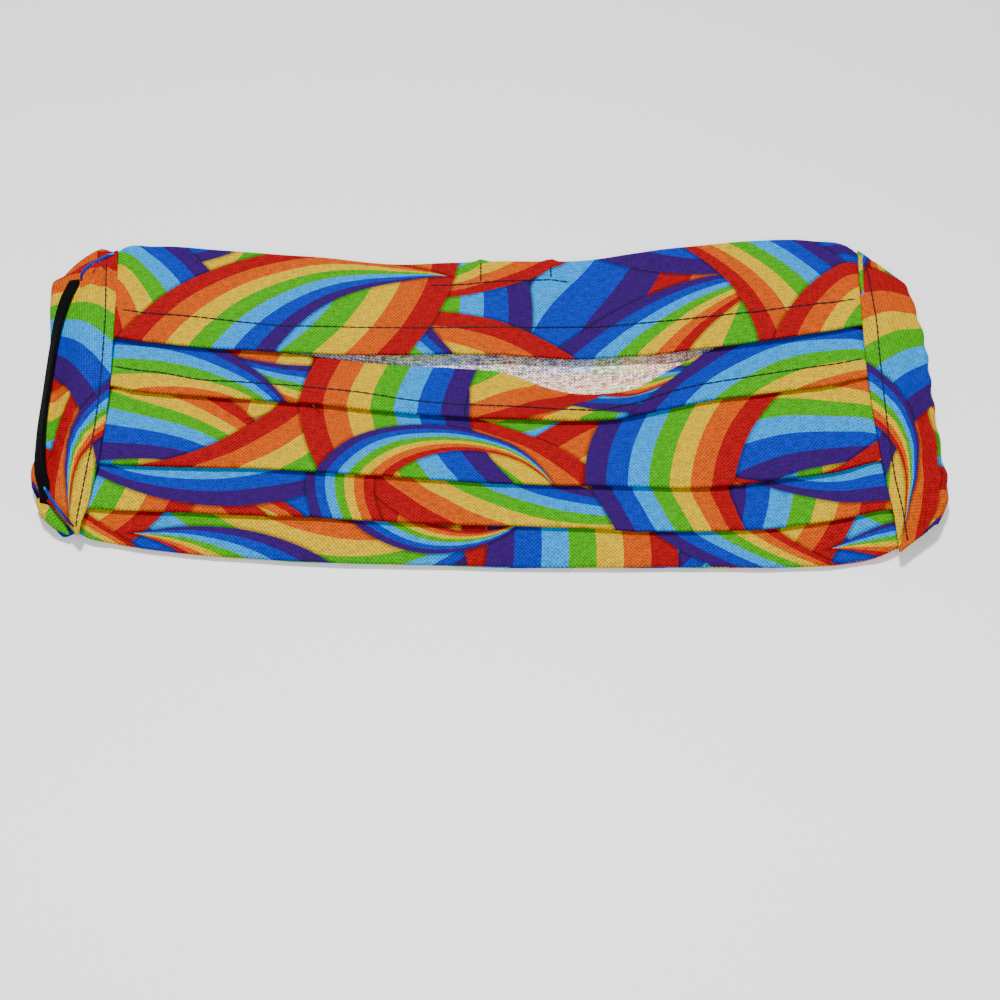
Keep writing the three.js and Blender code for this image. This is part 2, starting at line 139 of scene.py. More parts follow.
def dress(tree, base, roughness, specular=0.5, normal=None):
    shader = tree.nodes["Principled BSDF"]
    tree.links.new(base, shader.inputs["Base Color"])
    if normal is not None:
        tree.links.new(normal, shader.inputs["Normal"])
    shader.inputs["Roughness"].default_value = roughness
    shader.inputs["Specular IOR Level"].default_value = specular


def cloth_place(tree):
    uv = add(tree, "UVMap", uv_map="cloth")
    return add(tree, "VectorMath", {0: uv.outputs["UV"], "Scale": UV_SPAN}, operation="SCALE").outputs[0]


def ripple(tree, along, every):
    angle = add(tree, "Math", {0: along, 1: 2.0 * math.pi / every}, operation="MULTIPLY")
    return add(tree, "Math", {0: angle.outputs[0]}, operation="SINE").outputs[0]


print("half grey in linear light is", [round(part, 3) for part in colour("808080")])

# %% [markdown]
# The print is overlapping rainbow ribbons that taper to points. Each ribbon is a crescent between two
# circles: a point's share of the way from the inner circle to the outer one picks its colour, so all seven
# bands narrow together towards the tips. A ribbon repeats on a fixed cell, as a printing screen does, and
# draws a thin dark line on what it covers.

# %% The print
RAINBOW = ["860006", "A84200", "B49200", "348600", "007CC0", "042890", "280052"]
PRINT_CELL = (160.0, 132.0)
LINE_WIDTH, LINE_SOFT, LINE_SHADE = 0.9, 0.1, 0.42


def rainbow_ramp(tree, share):
    ramp = add(tree, "ValToRGB", {0: share})
    ramp.color_ramp.interpolation = "CONSTANT"
    stops = ramp.color_ramp.elements
    while len(stops) < len(RAINBOW):
        stops.new(0.5)
    for i, code in enumerate(RAINBOW):
        stops[i].position = i / len(RAINBOW)
        stops[i].color = colour(code)
    return ramp.outputs["Color"]


def ribbon_group():
    group = bpy.data.node_groups.new("rainbow ribbon", "ShaderNodeTree")
    for name, kind in (("Place", "Vector"), ("Centre", "Vector"), ("Outer radius", "Float"),
                       ("Inner radius", "Float"), ("Inner centre", "Vector"), ("Turn", "Float"),
                       ("Start", "Float"), ("Under", "Color")):
        group.interface.new_socket(name, in_out="INPUT", socket_type="NodeSocket" + kind)
    group.interface.new_socket("Color", in_out="OUTPUT", socket_type="NodeSocketColor")
    ends = group.nodes.new("NodeGroupInput").outputs
    out = group.nodes.new("NodeGroupOutput")
    half = (PRINT_CELL[0] / 2, PRINT_CELL[1] / 2, 1.0)
    moved = add(group, "VectorMath", {0: ends["Place"], 1: ends["Centre"]}, operation="SUBTRACT")
    low_half = tuple(-side for side in half)
    cell = add(group, "VectorMath", {0: moved.outputs[0], 1: half, 2: low_half}, operation="WRAP")
    outer_far = add(group, "VectorMath", {0: cell.outputs[0]}, operation="LENGTH")
    inner_place = add(group, "VectorMath", {0: cell.outputs[0], 1: ends["Inner centre"]},
                      operation="SUBTRACT")
    inner_far = add(group, "VectorMath", {0: inner_place.outputs[0]}, operation="LENGTH")
    past_inner = add(group, "Math", {0: inner_far.outputs["Value"], 1: ends["Inner radius"]},
                     operation="SUBTRACT")
    to_outer = add(group, "Math", {0: ends["Outer radius"], 1: outer_far.outputs["Value"]},
                   operation="SUBTRACT")
    depth = add(group, "Math", {0: past_inner.outputs[0], 1: to_outer.outputs[0]}, operation="MINIMUM")
    width = add(group, "Math", {0: past_inner.outputs[0], 1: to_outer.outputs[0]}, operation="ADD")
    share = add(group, "Math", {0: past_inner.outputs[0], 1: width.outputs[0]}, operation="DIVIDE")
    banded = add(group, "Math", {0: share.outputs[0], 1: ends["Turn"], 2: ends["Start"]},
                 operation="MULTIPLY_ADD")
    bands = rainbow_ramp(group, banded.outputs[0])
    inside = add(group, "Math", {0: depth.outputs[0], 1: 0.0}, operation="GREATER_THAN")
    shade = add(group, "MapRange", {"Value": depth.outputs[0], "From Min": -LINE_WIDTH,
                                    "From Max": -LINE_SOFT, "To Min": 1.0, "To Max": LINE_SHADE})
    dark = add(group, "VectorMath", {0: ends["Under"], 1: shade.outputs[0]}, operation="MULTIPLY")
    mixed = add(group, "Mix", {0: inside.outputs[0], 6: dark.outputs[0], 7: bands}, data_type="RGBA")
    group.links.new(mixed.outputs[2], out.inputs["Color"])
    return group


ribbon_nodes = ribbon_group()
print("a ribbon of the print has", len(ribbon_nodes.nodes), "nodes")

# %% [markdown]
# Ribbons from the lowest to the highest, in millimetres on the cloth: the middle of the outer circle, the two
# radii, how far and which way the inner circle is shifted, and whether red is on the outside. The large ones
# are up to 44 mm wide, with bands of 6.3 mm, and the small one has bands of about 2.3 mm. Where no ribbon
# lies, slanting rainbow stripes show, which drift a little so that no two look ruled.

# %% The ribbons
RIBBONS = [
    ((25, 20), 66, 52, 30, 15, True),
    ((105, 12), 64, 50, 30, 205, False),
    ((60, 70), 66, 52, 30, 335, False),
    ((140, 75), 64, 50, 29, 160, True),
    ((5, 105), 64, 50, 30, 40, True),
    ((85, 118), 66, 52, 30, 190, True),
    ((45, 40), 58, 46, 28, 200, False),
    ((120, 50), 58, 46, 28, 350, True),
    ((20, 75), 50, 38, 24, 25, False),
    ((95, 88), 30, 23, 9, 10, False),
]
STRIPE_SLOPE = (0.015, 0.006, 0.0)
DRIFT_SCALE, DRIFT_REACH = 0.02, (22.0, 22.0, 0.0)


def print_colour(tree):
    place = cloth_place(tree)
    drift = add(tree, "TexNoise", {"Vector": place, "Scale": DRIFT_SCALE, "Detail": 0.0})
    bent = add(tree, "VectorMath", {0: drift.outputs["Color"], 1: DRIFT_REACH, 2: place},
               operation="MULTIPLY_ADD")
    along = add(tree, "VectorMath", {0: bent.outputs[0], 1: STRIPE_SLOPE}, operation="DOT_PRODUCT")
    stripe = add(tree, "Math", {0: along.outputs["Value"]}, operation="FRACT")
    base = rainbow_ramp(tree, stripe.outputs[0])
    for centre, outer, inner, shift, towards, red_outside in RIBBONS:
        way = math.radians(towards)
        order, start = (-1.0, 1.0) if red_outside else (1.0, 0.0)
        base = add(tree, "Group", {
            "Place": place, "Centre": (*centre, 0), "Outer radius": outer, "Inner radius": inner,
            "Inner centre": (shift * math.cos(way), shift * math.sin(way), 0.0),
            "Turn": order, "Start": start, "Under": base}, node_tree=ribbon_nodes).outputs["Color"]
    return place, base


print("the print has", len(RIBBONS), "ribbons over its stripes")

# %% [markdown]
# Quilting cotton is a plain weave: each thread goes over one and under the next. The real threads are about
# 0.35 mm apart, too fine for the picture, so they are drawn 0.46 mm apart. The product of two waves gives the
# raised crossings, and the cloth's colour is painted lighter on them and darker between them, as painted
# light and shade. Noise stretched along a thread gives the slubs, the threads that are thicker than the rest,
# and noise stretched both ways makes some threads lighter than others.

# %% The weave
THREAD = 0.46
SLUB_STRETCH = (0.25, 2.4, 1.0)
THREAD_STRETCHES = ((0.35, 1.7, 1.0), (1.7, 0.35, 1.0))


def weave(tree, place):
    split = add(tree, "SeparateXYZ", {0: place})
    crossing = add(tree, "Math", {axis: ripple(tree, split.outputs[axis], 2.0 * THREAD) for axis in (0, 1)},
                   operation="MULTIPLY")
    slub_place = add(tree, "VectorMath", {0: place, 1: SLUB_STRETCH}, operation="MULTIPLY")
    slub = add(tree, "TexNoise", {"Vector": slub_place.outputs[0], "Scale": 1.0, "Detail": 1.0})
    height = add(tree, "Math", {0: crossing.outputs[0], 1: 0.5, 2: slub.outputs["Fac"]},
                 operation="MULTIPLY_ADD")
    return crossing.outputs[0], height.outputs[0]


def thread_tone(tree, place):
    tones = []
    for stretch in THREAD_STRETCHES:
        along = add(tree, "VectorMath", {0: place, 1: stretch}, operation="MULTIPLY")
        noise = add(tree, "TexNoise", {"Vector": along.outputs[0], "Scale": 1.4, "Detail": 1.0})
        tones.append(noise.outputs["Fac"])
    both = add(tree, "Mix", {0: 0.4, 2: tones[0], 3: tones[1]})
    return both.outputs[0]


print("the drawn cloth has", round(10.0 / THREAD), "threads to the centimetre")

# %% [markdown]
# The same print and weave make both sides of the cloth. On the wrong side the white of the yarn shows, and
# the ink only comes through on some threads, so the print is mixed with a warm white by the threads' tone.

# %% Printed cotton and its wrong side
CROSSING_PAINTED_LIGHT, CROSSING_INK = 0.2, 0.04
WEAVE_DEPTH = 0.00016


def cotton(name, is_wrong_side):
    material, tree = new_material(name)
    place, printed = print_colour(tree)
    crossing, height = weave(tree, place)
    threads = thread_tone(tree, place)
    # Painted light and shade: the colour is lighter on the weave's raised crossings and darker between them;
    # the threads' tone is their own, differing at random
    lift = add(tree, "Math", {0: crossing, 1: CROSSING_PAINTED_LIGHT, 2: threads}, operation="MULTIPLY_ADD")
    if is_wrong_side:
        inked = add(tree, "Math", {0: crossing, 1: CROSSING_INK, 2: threads}, operation="MULTIPLY_ADD")
        ink = add(tree, "MapRange", {"Value": inked.outputs[0], "From Min": 0.42, "From Max": 0.66,
                                     "To Min": 0.82, "To Max": 0.06})
        shown = add(tree, "Mix", {0: ink.outputs[0], 6: colour("FAF0E2"), 7: printed},
                    data_type="RGBA").outputs[2]
    else:
        shown = printed
    tone = add(tree, "MapRange", {"Value": lift.outputs[0], "From Min": 0.3, "From Max": 0.7,
                                  "To Min": 0.58, "To Max": 1.36})
    final = add(tree, "VectorMath", {0: shown, 1: tone.outputs[0]}, operation="MULTIPLY")
    bump = add(tree, "Bump", {"Height": height, "Strength": 0.6, "Distance": WEAVE_DEPTH})
    dress(tree, final.outputs[0], 0.85, specular=0.12, normal=bump.outputs["Normal"])
    return material


# Quilting cotton, screen-printed: matt, with flat full colours, painted lighter on the weave's crossings and
# darker between them as painted light and shade
printed_cotton = cotton("screen-printed plain-weave cotton", False)
# The same cotton from behind: off-white yarn, where the ink hardly comes through
cotton_back = cotton("wrong side of printed cotton", True)
print("the face's material has", len(printed_cotton.node_tree.nodes), "nodes")

# %% [markdown]
# Narrow braided elastic has raised ribs along its length and a dull black yarn. Thread is a plied polyester
# in navy, with a slight shine. The floor is smooth and painted a warm white.

# %% Elastic, thread and floor
RIB, BRAID = 0.7, 0.8
THREAD_PLY = 2500.0


def braided_elastic():
    material, tree = new_material("braided polyester elastic")
    split = add(tree, "SeparateXYZ", {0: cloth_place(tree)})
    rib, braid = ripple(tree, split.outputs[0], RIB), ripple(tree, split.outputs[1], BRAID)
    height = add(tree, "Math", {0: braid, 1: 0.35, 2: rib}, operation="MULTIPLY_ADD")
    tone = add(tree, "MapRange", {"Value": height.outputs[0], "From Min": -1.2, "From Max": 1.2})
    shade = add(tree, "Mix", {0: tone.outputs[0], 6: colour("000000"), 7: colour("040405")},
                data_type="RGBA")
    bump = add(tree, "Bump", {"Height": height.outputs[0], "Strength": 0.5, "Distance": 0.00015})
    dress(tree, shade.outputs[2], 0.9, specular=0.08, normal=bump.outputs["Normal"])
    return material


def sewing_thread():
    material, tree = new_material("plied polyester sewing thread")
    place = add(tree, "TexCoord")
    ply = add(tree, "TexNoise", {"Vector": place.outputs["Object"], "Scale": THREAD_PLY, "Detail": 1.0})
    shade = add(tree, "Mix", {0: ply.outputs["Fac"], 6: colour("02030A"), 7: colour("0A0E20")},
                data_type="RGBA")
    dress(tree, shade.outputs[2], 0.6, specular=0.2)
    return material


def painted_floor():
    material, tree = new_material("satin painted floor")
    place = add(tree, "TexCoord")
    cloud = add(tree, "TexNoise", {"Vector": place.outputs["Object"], "Scale": 6.0, "Detail": 3.0})
    split = add(tree, "SeparateXYZ", {0: place.outputs["Object"]})
    # Painted shade: the floor's colour darkens along Y, away from the camera, standing in for the lights'
    # falloff; the noise adds a faint random mottle
    mottle_and_painted_falloff = add(tree, "Math", {0: cloud.outputs["Fac"], 1: -0.02, 2: split.outputs["Y"]},
               operation="MULTIPLY_ADD")
    far = add(tree, "MapRange", {"Value": mottle_and_painted_falloff.outputs[0], "From Min": -0.12, "From Max": 0.14})
    shade = add(tree, "Mix", {0: far.outputs[0], 6: colour("FCFDFE"), 7: colour("DAD9D6")},
                data_type="RGBA")
    dress(tree, shade.outputs[2], 0.6)
    return material


# Polyester yarn braided flat: matt black, with ribs that catch a little light along the strap
elastic = braided_elastic()
# Polyester thread, plied and dyed: nearly black navy, mottled by its plies
thread = sewing_thread()
# Satin paint, sanded smooth: a plain pale ground that shows soft shadows, painted a little darker far away as
# painted shade for the lights' falloff
floor.data.materials.append(painted_floor())
print("the materials are", [material.name for material in bpy.data.materials])

# %% [markdown]
# The folds of the body. Each row of this table is a section across the mask: the top edge, the hem of the
# pocket flap, the lip and the stitch line of the lower lining's hem, three folds and the bottom edge, all as
# shares of half the depth, and how far the hem sags. A smooth curve runs through each column.

# %% Sections of the body
BODY_COLUMNS = ("at", "top", "hem", "lip", "stitch", "fold_a", "fold_b", "fold_c", "bottom", "sag")
BODY_ROWS = np.array([
    (-0.89, 0.82, 0.32, 0.39, 0.16, 0.03, -0.44, -0.70, -0.76, 0),
    (-0.84, 0.94, 0.32, 0.38, 0.16, 0.03, -0.44, -0.70, -0.84, 0),
    (-0.78, 0.96, 0.31, 0.37, 0.14, 0.01, -0.44, -0.70, -0.87, 0),
    (-0.64, 0.94, 0.27, 0.33, 0.09, -0.02, -0.45, -0.71, -0.92, 0),
    (-0.50, 0.91, 0.25, 0.265, 0.07, -0.05, -0.46, -0.73, -0.95, 0),
    (-0.36, 0.88, 0.23, 0.215, 0.03, -0.08, -0.48, -0.74, -0.97, 0),
    (-0.22, 0.84, 0.22, 0.17, -0.01, -0.12, -0.50, -0.76, -0.98, 0.05),
    (-0.08, 0.85, 0.23, 0.15, -0.06, -0.15, -0.53, -0.78, -0.99, 0.15),
    (0.06, 0.86, 0.23, 0.11, -0.09, -0.165, -0.55, -0.79, -1.00, 0.45),
    (0.13, 0.86, 0.22, 0.04, -0.12, -0.17, -0.555, -0.795, -1.00, 0.85),
    (0.20, 0.86, 0.21, -0.005, -0.135, -0.175, -0.56, -0.80, -1.00, 1),
    (0.27, 0.88, 0.22, -0.005, -0.13, -0.17, -0.565, -0.81, -1.00, 1),
    (0.34, 0.91, 0.23, 0.03, -0.09, -0.14, -0.57, -0.82, -1.00, 0.8),
    (0.41, 0.94, 0.24, 0.13, 0.00, -0.10, -0.575, -0.82, -1.00, 0.35),
    (0.48, 0.96, 0.26, 0.225, 0.06, -0.06, -0.57, -0.82, -1.00, 0.05),
    (0.62, 1.00, 0.31, 0.36, 0.12, -0.01, -0.53, -0.80, -1.00, 0),
    (0.76, 1.00, 0.37, 0.42, 0.18, 0.04, -0.48, -0.75, -0.98, 0),
    (0.85, 0.94, 0.40, 0.45, 0.21, 0.08, -0.43, -0.71, -0.93, 0),
    (0.905, 0.78, 0.40, 0.45, 0.21, 0.08, -0.43, -0.71, -0.85, 0),
])
LEFT_END = -0.89
RIGHT_END = 0.905
LIFT_FROM, LIFT_OVER = 5.0, 8.0


def mix(start, end, share):
    return start + (end - start) * share


def smooth(share):
    held = min(max(share, 0.0), 1.0)
    return held * held * (3.0 - 2.0 * held)


def through(rows, columns, column, place):
    keys, values = rows[:, 0], rows[:, columns.index(column)]
    slopes = np.gradient(values, keys)
    i = int(np.clip(np.searchsorted(keys, place) - 1, 0, len(keys) - 2))
    span = keys[i + 1] - keys[i]
    share = min(max((place - keys[i]) / span, 0.0), 1.0)
    bend = share * (1 - share) * span
    curve = mix(values[i], values[i + 1], smooth(share))
    return curve + bend * ((1 - share) * slopes[i] - share * slopes[i + 1])


@functools.lru_cache(maxsize=None)
def body_section(place):
    section = {name: through(BODY_ROWS, BODY_COLUMNS, name, place) * HALF_DEPTH
               for name in BODY_COLUMNS[1:-1]}
    section["sag"] = through(BODY_ROWS, BODY_COLUMNS, "sag", place)
    section["x"] = place * HALF_LENGTH
    to_end = min(place - LEFT_END, RIGHT_END - place) * HALF_LENGTH
    section["lift"] = 1.0 - smooth((to_end - LIFT_FROM) / LIFT_OVER)
    return section


print("the slit's lip sags to y =", round(min(body_section(at)["lip"] for at in (0.1, 0.2, 0.3)), 1), "mm")

# %% [markdown]
# Cloth lies in soft waves even when it's pressed. A few sine waves with fixed phases give each surface the
# same slow unevenness on every run.

# %% Slow waves in the cloth
def waves(x, y, seed, size):
    total = 0.0
    for i in range(5):
        way = seed * 2.1 + i * 1.9
        length = size * (0.6 + 0.35 * i)
        total += math.sin((x * math.cos(way) + y * math.sin(way)) * 2 * math.pi / length + way * 3.7)
    return total / 5.0


print("a wave along the mask:", [round(waves(x, 0.0, 1.0, 34.0), 2) for x in range(-100, 101, 25)])

# %% [markdown]
# Every cloth piece starts as a flat grid of its cut size. Each row of the grid is given its place along a
# path across the cloth, and the grid's columns follow the mask. The same flat place goes into the UV map, in
# millimetres over a fixed span. Solidify then gives the cloth its thickness, with one material on each side.

# %% Laying a grid of cloth
CLOTH = 0.42


def run(start, end, count, height=None):
    points = []
    for i in range(count):
        share = (i + 1) / count
        z = mix(start[1], end[1], share) if height is None else height(share)
        points.append((mix(start[0], end[0], share), z))
    return points


def turn(start, end, bulge, count):
    middle = (mix(start[0], end[0], 0.5), mix(start[1], end[1], 0.5))
    radius = abs(end[1] - start[1]) / 2
    points = []
    for i in range(1, count + 1):
        angle = math.pi * i / count
        points.append((middle[0] + bulge * radius * math.sin(angle),
                       mix(start[1], end[1], (1 - math.cos(angle)) / 2)))
    return points


def lay_cloth(name, path_at, places, point_at, materials, offset=(0.0, 0.0), turned=0.0, face=1.0):
    paths = [path_at(place) for place in places]
    rows = len(paths[0])
    points = np.array([[point_at(place, p) for p in path] for place, path in zip(places, paths)])
    steps_down = np.linalg.norm(np.diff(points, axis=1), axis=2).mean(axis=0)
    steps_along = np.linalg.norm(np.diff(points, axis=0), axis=2).mean(axis=1)
    down = np.concatenate([[0.0], np.cumsum(steps_down)])
    along = np.concatenate([[0.0], np.cumsum(steps_along)])
    bpy.ops.object.select_all(action="DESELECT")
    bpy.ops.mesh.primitive_grid_add(x_subdivisions=len(places) - 1, y_subdivisions=rows - 1, size=2.0)
    piece = bpy.context.object
    piece.name = piece.data.name = name
    mesh = piece.data
    flat = np.empty(len(mesh.vertices) * 3)
    mesh.vertices.foreach_get("co", flat)
    flat = flat.reshape(-1, 3)
    i = np.rint((flat[:, 0] + 1) / 2 * (len(places) - 1)).astype(int)
    j = np.rint((flat[:, 1] + 1) / 2 * (rows - 1)).astype(int)
    mesh.vertices.foreach_set("co", (points[i, j] * MM).ravel())
    corner = np.empty(len(mesh.loops), dtype=int)
    mesh.loops.foreach_get("vertex_index", corner)
    cloth_x, cloth_y = along[i[corner]], down[j[corner]]
    cos, sin = math.cos(turned), math.sin(turned)
    uv = np.stack([cloth_x * cos - cloth_y * sin + offset[0],
                   cloth_x * sin + cloth_y * cos + offset[1]], axis=1)
    layer = mesh.uv_layers[0]
    layer.name = "cloth"
    layer.data.foreach_set("uv", (uv / UV_SPAN).ravel())
    mesh.update()
    for material in materials:
        mesh.materials.append(material)
    mesh.shade_smooth()
    if face < 0:
        mesh.flip_normals()
    wall = piece.modifiers.new("thickness", "SOLIDIFY")
    wall.thickness = CLOTH * MM
    wall.offset = 0.0
    wall.material_offset = 1
    wall.use_even_offset = False
    bpy.ops.object.modifier_apply(modifier=wall.name)
    print(name, "is cut", round(along[-1]), "by", round(down[-1]), "mm, with", len(mesh.polygons), "faces")
    return piece, (down[-1] * MM, along[-1] * MM)


def body_places(count):
    return list(np.linspace(LEFT_END, RIGHT_END, count))


print("the cloth is", CLOTH, "mm thick")

# %% [markdown]
# Edges and stitches lie on cloth that is already laid. A ray dropped straight down onto a piece finds the
# height of its top surface at any place.

# %% Dropping onto the cloth
DROP_HEIGHT = 0.05


def cloth_tree(piece):
    return BVHTree.FromPolygons([vertex.co.copy() for vertex in piece.data.vertices],
                                [tuple(polygon.vertices) for polygon in piece.data.polygons])


def drop(tree, x, y):
    hit = tree.ray_cast(Vector((x * MM, y * MM, DROP_HEIGHT)), Vector((0, 0, -1)))[0]
    return hit / MM if hit else None


def rest(tree, line, above):
    hits = [drop(tree, x, y) for x, y in line]
    print("the rolled edge lies at", [round(hit.z, 1) if hit else None for hit in hits], "mm")
    known = [hit.z for hit in hits if hit]
    return [(x, y, (hit.z if hit else known[0]) + above) for (x, y), hit in zip(line, hits)]


print("rays start", round(DROP_HEIGHT / MM), "mm above the floor")

# %% [markdown]
# Heights of the layers in millimetres above the floor, at the middle of each layer of cloth. The lining lies
# low where a strip starts under the fold above it, and high where it makes the next fold. Towards the
# casings all layers lift, because the casing's lower leaf passes under them.

# %% Heights
LOW, RETURN, HIGH = 2.3, 3.2, 3.9
END_LIFT = 0.9
LAP = 4.6


def heights(section):
    up = section["lift"] * END_LIFT
    return LOW + up, RETURN + up, HIGH + up


print("the lining's layers lie at", heights(body_section(0.0)), "mm in the middle")

# %% [markdown]
# The lower lining: its top edge is a hem turned under and stitched, which sags open at the pocket's mouth,
# and below it three pleats. In each pleat the cloth comes down to the fold edge, runs back under itself,
# turns again and goes on as the next strip. One path holds all of it, so the sheet is one piece of cloth.

# %% Lower lining
SAG_RISE, SAGGED_LIP = 0.8, 1.75
HEM_LEAF = 0.55
RIM, RIM_AT_ENDS, RIM_LEAF = 1.55, 2.2, 0.7


def hem_point(section, share):
    low, _, high = heights(section)
    crest = mix(mix(low, high, 0.55), high + SAG_RISE, section["sag"])
    lip = mix(low, SAGGED_LIP, smooth(section["sag"] * 1.4))
    fall = smooth(share / mix(0.75, 0.95, section["sag"]))
    y = mix(section["stitch"], section["lip"], share)
    return y, mix(crest, lip, fall)


def lining_path(place):
    s = body_section(place)
    low, back, high = heights(s)
    under = [hem_point(s, share) for share in np.linspace(0.1, 1.0, 9)]
    path = [(y, z - HEM_LEAF) for y, z in under]
    lip_y, lip_z = hem_point(s, 1.0)
    path += turn((lip_y, lip_z - HEM_LEAF), (lip_y, lip_z), 1.0, 5)
    path += [hem_point(s, share) for share in np.linspace(0.94, 0.0, 14)]
    folds = [s["fold_a"], s["fold_b"], s["fold_c"]]
    before = path[-1]
    for number, fold in enumerate(folds):
        lap = min(LAP, (before[0] - fold) * 0.9 + 2.0)
        if number == 0:
            path += run(before, (fold, high + 0.35 * s["sag"]), 7)
        edge = path[-1]
        path += turn(edge, (edge[0], back), -1.0, 6)
        path += run((edge[0], back), (fold + lap, back), 4)
        path += turn((fold + lap, back), (fold + lap, low), 1.0, 5)
        last = fold + lap
        if number < 2:
            following, level = folds[number + 1], fold - 0.8
            plateau = mix(fold, following, 0.62)
            valley = low + 0.45 * s["lift"]
            path += run((last, low), (level, valley), 5)
            path += run((level, valley), (following, high), 22,
                        lambda t: mix(valley, high, smooth(t * (following - level) / (plateau - level))))
            before = (fold, low)
    bottom = s["bottom"]
    rim = mix(RIM, RIM_AT_ENDS, s["lift"])
    path += run((last, low), (fold - 0.8, low), 5)
    path += run((fold - 0.8, low), (bottom + 0.4, rim), 10,
                lambda t: mix(low, rim, t * t * (0.4 + 0.6 * t)))
    path += turn((bottom + 0.4, rim), (bottom + 0.4, rim - RIM_LEAF), -1.0, 4)
    path += run((bottom + 0.4, rim - RIM_LEAF), (bottom + 4.0, rim - 0.6), 3)
    return path


BODY_WAVE, FOLD_WAVE, FOLD_WANDER = 34.0, 26.0, 0.18


def on_body(seed, amount):
    def place_point(place, point):
        x = place * HALF_LENGTH
        y, z = point
        still = 1.0 - 0.6 * body_section(place)["lift"]
        z += amount * waves(x, y, seed, BODY_WAVE) * still
        y += FOLD_WANDER * waves(x, y * 0.3, seed + 2.0, FOLD_WAVE)
        return x, y, z
    return place_point


lining, lining_cut = lay_cloth("lower_lining_cloth", lining_path, body_places(130), on_body(1.0, 0.14),
                               (printed_cotton, cotton_back), offset=(10.0, 20.0), face=-1.0)
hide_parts("lower_lining")
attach(lining, "root")

# %% [markdown]
# The outer panel lies face down on the ground, so its pale wrong side is what shows through the open slit.
# Its pleats are pressed the other way up from the lining's: each strip runs on behind the strip below it,
# turns back, and turns again into that strip's top edge.

# %% Outer panel
OUTER_LOW, OUTER_RETURN, OUTER_HIGH = 0.26, 0.78, 1.30
OUTER_SHIFT, OUTER_STEP = 5.0, 4.0
TURN_IN = (6.0, 3.0, 0.5)


def outer_levels(section):
    lift = section["lift"]
    return mix(OUTER_LOW, 1.25, lift), mix(OUTER_RETURN, 1.7, lift), mix(OUTER_HIGH, 2.15, lift)


def outer_path(place):
    s = body_section(place)
    low, back, high = outer_levels(s)
    path = [(s["top"] - inset, back + 0.5) for inset in TURN_IN]
    path += turn((s["top"] - 0.5, back + 0.5), (s["top"] - 0.5, low), 0.8, 5)
    previous = s["top"] - 0.5
    for fold in (s["fold_a"], s["fold_b"], s["fold_c"]):
        edge = fold + OUTER_SHIFT
        path += run((previous, low), (edge + OUTER_STEP, low), 10)
        path += run((edge + OUTER_STEP, low), (edge, high), 5, lambda t: mix(low, high, smooth(t)))
        path += run((edge, high), (fold + 0.5, high), 4)
        path += turn((fold + 0.5, high), (fold + 0.5, back), -1.0, 4)
        path += run((fold + 0.5, back), (edge, back), 4)
        path += turn((edge, back), (edge, low), 1.0, 4)
        previous = edge
    bottom = s["bottom"] + 0.5
    path += run((previous, low), (bottom, low), 8)
    path += turn((bottom, low), (bottom, back), -1.0, 4)
    path += run((bottom, back), (bottom + 4.0, back), 3)
    return path


outer, outer_cut = lay_cloth("outer_cloth", outer_path, body_places(110), on_body(4.0, 0.05),
                             (printed_cotton, cotton_back), offset=(2.0, 87.0), face=1.0)
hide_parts("outer_panel")
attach(outer, "root")

# %% [markdown]
# The pocket flap is the upper part of the lining. Its hem is turned under and lies over the lower lining, and
# its top edge is turned in where it meets the outer panel. The nose wire's channel puckers it a little, and
# the line of stitches draws the hem down.

# %% Pocket flap
FLAP_LEAF = 0.5
FLAP_HEM_START, FLAP_HEM_END, FLAP_STITCH_LINE = 0.3, 8.5, 8.2
TACK_PLACES = (-1.0, 16.5)


def flap_path(place):
    s = body_section(place)
    low, _, high = heights(s)
    hem_high = high - 1.0 * s["sag"]
    top = s["top"] - 0.35
    hem = s["hem"] + FLAP_HEM_START
    path = [(top - inset, low - FLAP_LEAF) for inset in (6.0, 3.0, 0.0)]
    path += turn((top, low - FLAP_LEAF), (top, low), 1.0, 5)
    path += run((top, low), (hem, hem_high), 36,
                lambda t: mix(low, hem_high, 0.65 * smooth(t * 1.6) + 0.35 * t))
    path += turn((hem, hem_high), (hem, hem_high - FLAP_LEAF), -1.0, 5)
    path += run((hem, hem_high - FLAP_LEAF), (s["hem"] + FLAP_HEM_END, hem_high - FLAP_LEAF), 6)
    return path


def on_flap(place, point):
    x, y, z = on_body(2.5, 0.2)(place, point)
    s = body_section(place)
    near_top = smooth(1.0 - (s["top"] - y) / 12.0)
    for tack in TACK_PLACES:
        z += 0.5 * near_top * math.exp(-((x - tack) / 1.6) ** 2)
        y += 0.5 * near_top * math.exp(-((x - tack) / 1.2) ** 2)
    z -= 0.25 * smooth(1.0 - abs(y - s["hem"] - FLAP_STITCH_LINE) / 0.9)
    return x, y, z


flap, flap_cut = lay_cloth("pocket_flap_cloth", flap_path, body_places(150), on_flap,
                           (printed_cotton, cotton_back), offset=(60.0, 120.0), face=-1.0)
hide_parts("pocket_flap")
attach(flap, "root")

# %% [markdown]
# A casing is a strip of the same cotton folded lengthwise round the raw end of the body, with both long edges
# turned in. Beyond the raw end the fold is the tunnel of the ear loop. The left one is puckered at its upper
# mouth, and the right one is gathered along its fold.

